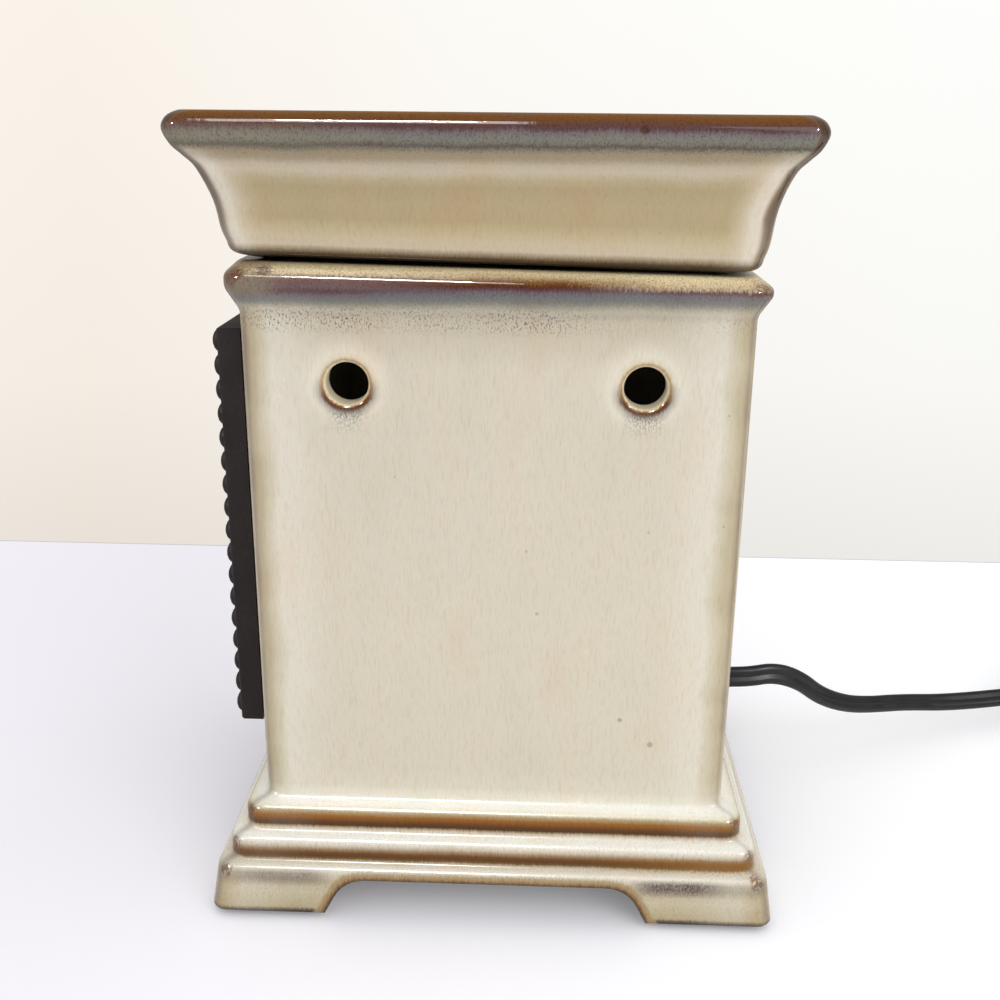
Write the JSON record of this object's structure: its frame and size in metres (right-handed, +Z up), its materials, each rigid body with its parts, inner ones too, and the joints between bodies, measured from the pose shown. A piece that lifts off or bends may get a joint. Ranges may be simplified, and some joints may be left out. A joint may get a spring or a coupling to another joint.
{
  "type": "wax melt warmer",
  "caption": "Square ceramic electric wax melt warmer with a lift-off ogee wax dish, stepped base on feet, a beaded magnetic front plaque, a bulb inside and a mains cord.",
  "frame": {"origin": "on the surface it stands on, under the middle of the housing", "axes": "+Z up, the plaque faces -Y, the cord leaves the back at +Y, +X is the side that the picture shows"},
  "size_m": [0.1385, 0.3934, 0.1785],
  "materials": {
    "glazed_ceramic": "cream reactive glaze, glossy",
    "pad_rubber": "matte rubber",
    "plaque_resin": "dark brown cast resin, matte",
    "plaque_backing_board": "dark brown moulded backing",
    "magnet_nickel": "nickel plated",
    "zinc_steel": "zinc plated steel",
    "brass_fittings": "plain brass",
    "holder_phenolic": "moulded phenolic",
    "bulb_glass": "clear glass",
    "black_glass": "fused glass insulator",
    "solder_tip": "solder",
    "tungsten_wire": "drawn tungsten",
    "cord_vinyl": "satin black vinyl",
    "lead_vinyl": "satin black vinyl",
    "tie_plastic": "black strap",
    "switch_plastic": "black moulded plastic"
  },
  "bodies": {
    "housing": {"bottom_cover": "zinc_steel", "ceramic_housing": "glazed_ceramic", "coil_tie": "tie_plastic", "cord_bushing": "cord_vinyl", "cord_coil": "cord_vinyl", "cord_end": "cord_vinyl", "cord_middle": "cord_vinyl", "cord_rear": "cord_vinyl", "foot_pad_back_left": "pad_rubber", "foot_pad_back_right": "pad_rubber", "foot_pad_front_left": "pad_rubber", "foot_pad_front_right": "pad_rubber", "holder_contact": "brass_fittings", "holder_screw_shell": "brass_fittings", "holder_terminals": "brass_fittings", "housing_magnets": "magnet_nickel", "lamp_holder": "holder_phenolic", "lamp_strap": "zinc_steel", "lead_left": "lead_vinyl", "lead_right": "lead_vinyl", "plug_blades": "brass_fittings", "plug_body": "cord_vinyl", "switch_contacts": "brass_fittings", "switch_lower_shell": "switch_plastic", "switch_screws": "zinc_steel", "switch_upper_shell": "switch_plastic", "terminal_screws": "zinc_steel", "threaded_tube": "zinc_steel", "tube_nut": "brass_fittings"},
    "dish": {"wax_dish": "glazed_ceramic"},
    "plaque": {"plaque_frame": "plaque_resin", "plaque_panel": "plaque_resin", "plaque_backing": "plaque_backing_board", "plaque_magnets": "magnet_nickel"},
    "bulb_screw": {"bulb_tip": "solder_tip"},
    "bulb": {"bulb_globe": "bulb_glass", "bulb_cap": "brass_fittings", "bulb_insulator": "black_glass", "bulb_stem": "bulb_glass", "bulb_filament": "tungsten_wire"},
    "thumb_wheel": {"switch_wheel": "switch_plastic"}
  },
  "joints": [
    {"name": "dish_lift", "type": "slide", "parent": "housing", "child": "dish", "axis": [0, 0, 1], "range_m": [0, 0.06]},
    {"name": "plaque_pull", "type": "slide", "parent": "housing", "child": "plaque", "axis": [0, -1, 0], "range_m": [0, 0.03]},
    {"name": "bulb_rise", "type": "slide", "parent": "housing", "child": "bulb_screw", "axis": [0, 0, 1], "range_m": [0, 0.0128]},
    {"name": "bulb_turn", "type": "hinge", "parent": "bulb_screw", "child": "bulb", "pos_m": [0, 0, 0.08], "axis": [0, 0, 1], "range_deg": [0, 1800]},
    {"name": "wheel_turn", "type": "hinge", "parent": "housing", "child": "thumb_wheel", "pos_m": [-0.0489, 0.19995, 0.0085], "axis": [0, 0, 1], "continuous": true}
  ],
  "couplings": [
    {"joint": "bulb_rise", "follows": "bulb_turn", "m_per_rad": 0.00040425}
  ]
}
